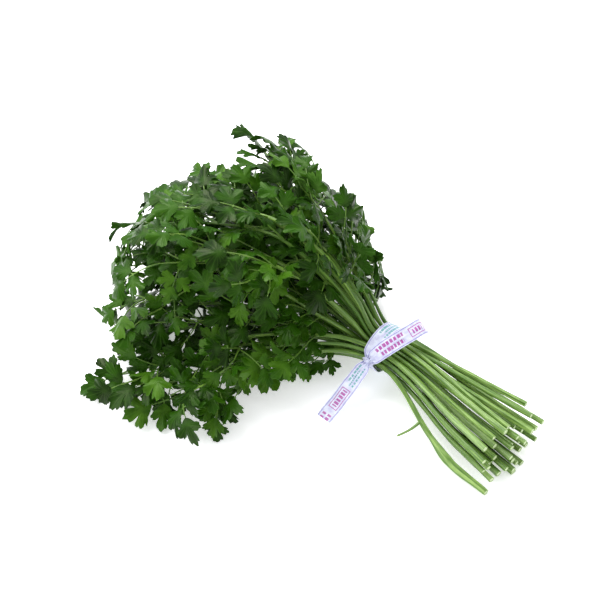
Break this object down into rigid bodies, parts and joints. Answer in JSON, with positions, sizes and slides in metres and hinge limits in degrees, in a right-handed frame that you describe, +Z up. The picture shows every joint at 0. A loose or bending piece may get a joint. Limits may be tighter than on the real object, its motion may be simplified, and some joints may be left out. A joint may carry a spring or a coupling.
{
  "type": "bunch of flat-leaf parsley",
  "caption": "Cut bunch of flat-leaf parsley lying on its side: leafy stems fanned out to one side of a paper twist tie, ragged cut ends on the other.",
  "frame": {"origin": "middle of the bunch's footprint, on the surface that it lies on", "axes": "+Z up from that surface; +X along the bunch, from the foliage towards the cut ends"},
  "size_m": [0.3689, 0.2678, 0.127],
  "materials": {
    "leaf_green": "satin",
    "stem_green": "satin",
    "tie_paper": "satin"
  },
  "bodies": {
    "root": {"stem_01": "stem_green", "stem_02": "stem_green", "stem_03": "stem_green", "stem_04": "leaf_green", "stem_05": "leaf_green", "stem_06": "leaf_green", "stem_07": "leaf_green", "stem_08": "leaf_green", "stem_09": "leaf_green", "stem_10": "leaf_green", "stem_11": "leaf_green", "stem_12": "leaf_green", "stem_13": "leaf_green", "stem_14": "leaf_green", "stem_15": "leaf_green", "stem_16": "leaf_green", "stem_17": "leaf_green", "stem_18": "leaf_green", "stem_20": "leaf_green", "stem_21": "leaf_green", "stem_22": "leaf_green", "stem_23": "leaf_green", "stem_24": "leaf_green", "stem_25": "leaf_green", "stem_26": "leaf_green", "stem_27": "leaf_green", "stem_28": "leaf_green", "stem_29": "leaf_green", "stem_30": "leaf_green", "stem_31": "leaf_green", "stem_32": "leaf_green", "stem_33": "leaf_green", "stem_34": "leaf_green", "stem_35": "leaf_green", "stem_36": "leaf_green", "stem_37": "leaf_green", "stem_38": "leaf_green", "stem_39": "leaf_green", "stem_41": "leaf_green", "stem_42": "leaf_green", "stem_43": "leaf_green", "stem_45": "leaf_green", "tie_ribbon": "tie_paper"}
  },
  "joints": []
}
